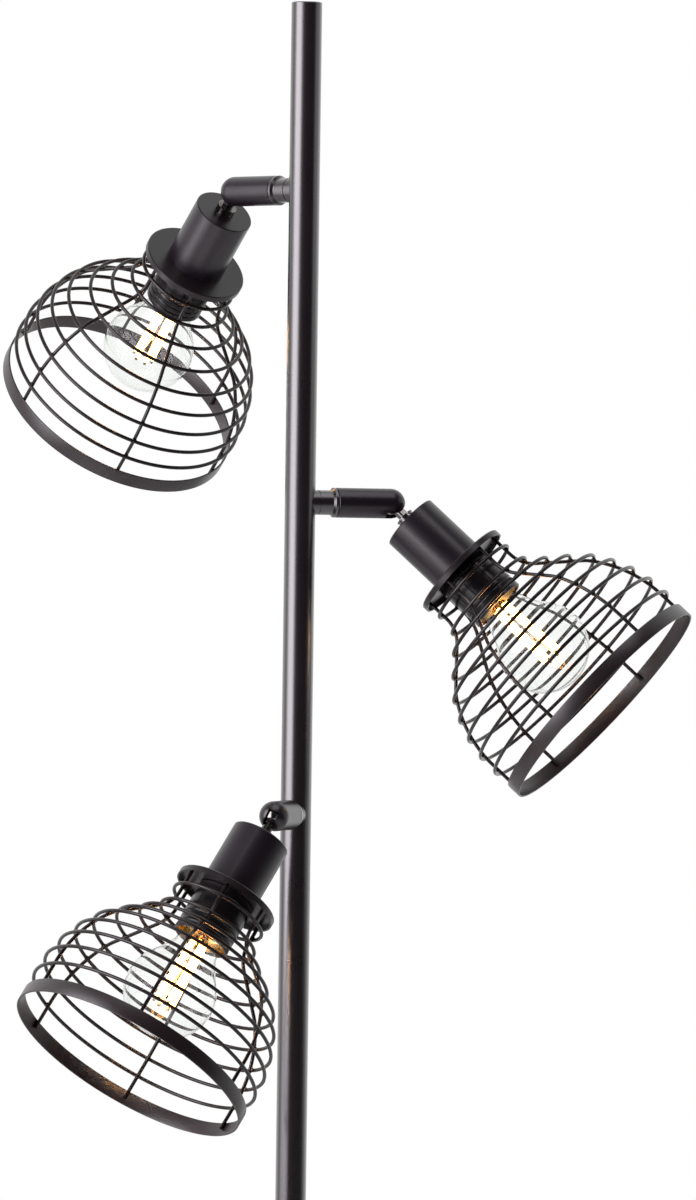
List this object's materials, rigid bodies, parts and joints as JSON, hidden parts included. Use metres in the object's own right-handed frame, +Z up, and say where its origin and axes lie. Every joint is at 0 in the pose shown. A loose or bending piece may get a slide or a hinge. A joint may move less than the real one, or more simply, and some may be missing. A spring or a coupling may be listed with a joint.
{
  "type": "floor lamp",
  "caption": "Floor lamp with a thin black pole, a round weighted base and spot heads on swivel arms, each with a ball joint and a bell-shaped welded wire cage round a clear bulb.",
  "frame": {"origin": "on the floor under the pole's axis, at the centre of the base", "axes": "+Z up along the pole, +X to the right and +Y away as the picture sees the lamp"},
  "size_m": [0.4546, 0.4205, 1.6],
  "materials": {
    "black_enamel": "satin black stove enamel on steel",
    "black_wire": "satin black enamel on steel wire",
    "plain_steel": "zinc plated steel",
    "nickel_ball": "dark nickel plate",
    "brass_parts": "bright brass",
    "holder_plastic": "moulded black thermoset",
    "nylon_seat": "natural nylon",
    "cast_weight": "raw casting",
    "rubber_foot": "black rubber",
    "clear_glass": "clear blown glass"
  },
  "bodies": {
    "stand": {"pole_lower_tube": "black_enamel", "pole_upper_tube": "black_enamel", "pole_coupler": "plain_steel", "pole_top_plug": "black_enamel", "pole_foot_rod": "plain_steel", "base_cover": "black_enamel", "base_weight": "cast_weight", "base_foot_ring": "rubber_foot", "base_nut_and_washer": "plain_steel", "cable_grommet": "rubber_foot", "spindle_nuts": "plain_steel", "upper_arm_stub": "black_enamel", "middle_arm_stub": "black_enamel", "lower_arm_stub": "black_enamel"},
    "upper_arm": {"upper_arm_barrel": "black_enamel", "upper_arm_bush": "brass_parts", "upper_ball_seat": "nylon_seat"},
    "upper_head": {"upper_ball_stem": "nickel_ball", "upper_neck_nuts": "nickel_ball", "upper_cup": "black_enamel", "upper_shade_disc": "black_enamel", "upper_shade_ring": "holder_plastic", "upper_holder_cap": "holder_plastic", "upper_holder_body": "holder_plastic", "upper_socket_contacts": "brass_parts", "upper_bulb_cap": "brass_parts", "upper_bulb_glass": "clear_glass", "upper_cage_wires": "black_wire", "upper_cage_band": "black_wire"},
    "middle_arm": {"middle_arm_barrel": "black_enamel", "middle_arm_bush": "brass_parts", "middle_ball_seat": "nylon_seat"},
    "middle_head": {"middle_ball_stem": "nickel_ball", "middle_neck_nuts": "nickel_ball", "middle_cup": "black_enamel", "middle_shade_disc": "black_enamel", "middle_shade_ring": "holder_plastic", "middle_holder_cap": "holder_plastic", "middle_holder_body": "holder_plastic", "middle_socket_contacts": "brass_parts", "middle_bulb_cap": "brass_parts", "middle_bulb_glass": "clear_glass", "middle_cage_wires": "black_wire", "middle_cage_band": "black_wire"},
    "lower_arm": {"lower_arm_barrel": "black_enamel", "lower_arm_bush": "brass_parts", "lower_ball_seat": "nylon_seat"},
    "lower_head": {"lower_ball_stem": "nickel_ball", "lower_neck_nuts": "nickel_ball", "lower_cup": "black_enamel", "lower_shade_disc": "black_enamel", "lower_shade_ring": "holder_plastic", "lower_holder_cap": "holder_plastic", "lower_holder_body": "holder_plastic", "lower_socket_contacts": "brass_parts", "lower_bulb_cap": "brass_parts", "lower_bulb_glass": "clear_glass", "lower_cage_wires": "black_wire", "lower_cage_band": "black_wire"}
  },
  "joints": [
    {"name": "upper_swivel", "type": "hinge", "parent": "stand", "child": "upper_arm", "pos_m": [-0.01734, 0.016, 1.478], "axis": [-0.7349, 0.6782, 0], "range_deg": [-155.3, 174.7]},
    {"name": "upper_tilt", "type": "hinge", "parent": "upper_arm", "child": "upper_head", "pos_m": [-0.0452, 0.04171, 1.478], "axis": [-0.6685, -0.7244, -0.1685], "range_deg": [-47.4, 29.6]},
    {"name": "middle_swivel", "type": "hinge", "parent": "stand", "child": "middle_arm", "pos_m": [0.02253, 0.00702, 1.275], "axis": [0.9548, 0.2974, 0], "range_deg": [-135.9, 194.1]},
    {"name": "middle_tilt", "type": "hinge", "parent": "middle_arm", "child": "middle_head", "pos_m": [0.05872, 0.01829, 1.275], "axis": [-0.2598, 0.8342, -0.4863], "range_deg": [-49.8, 27.2]},
    {"name": "lower_swivel", "type": "hinge", "parent": "stand", "child": "lower_arm", "pos_m": [-0.00519, -0.02302, 1.072], "axis": [-0.2198, -0.9755, 0], "range_deg": [-140, 190]},
    {"name": "lower_tilt", "type": "hinge", "parent": "lower_arm", "child": "lower_head", "pos_m": [-0.01352, -0.05999, 1.072], "axis": [0.8841, -0.1992, -0.4226], "range_deg": [-63.4, 13.6]}
  ]
}
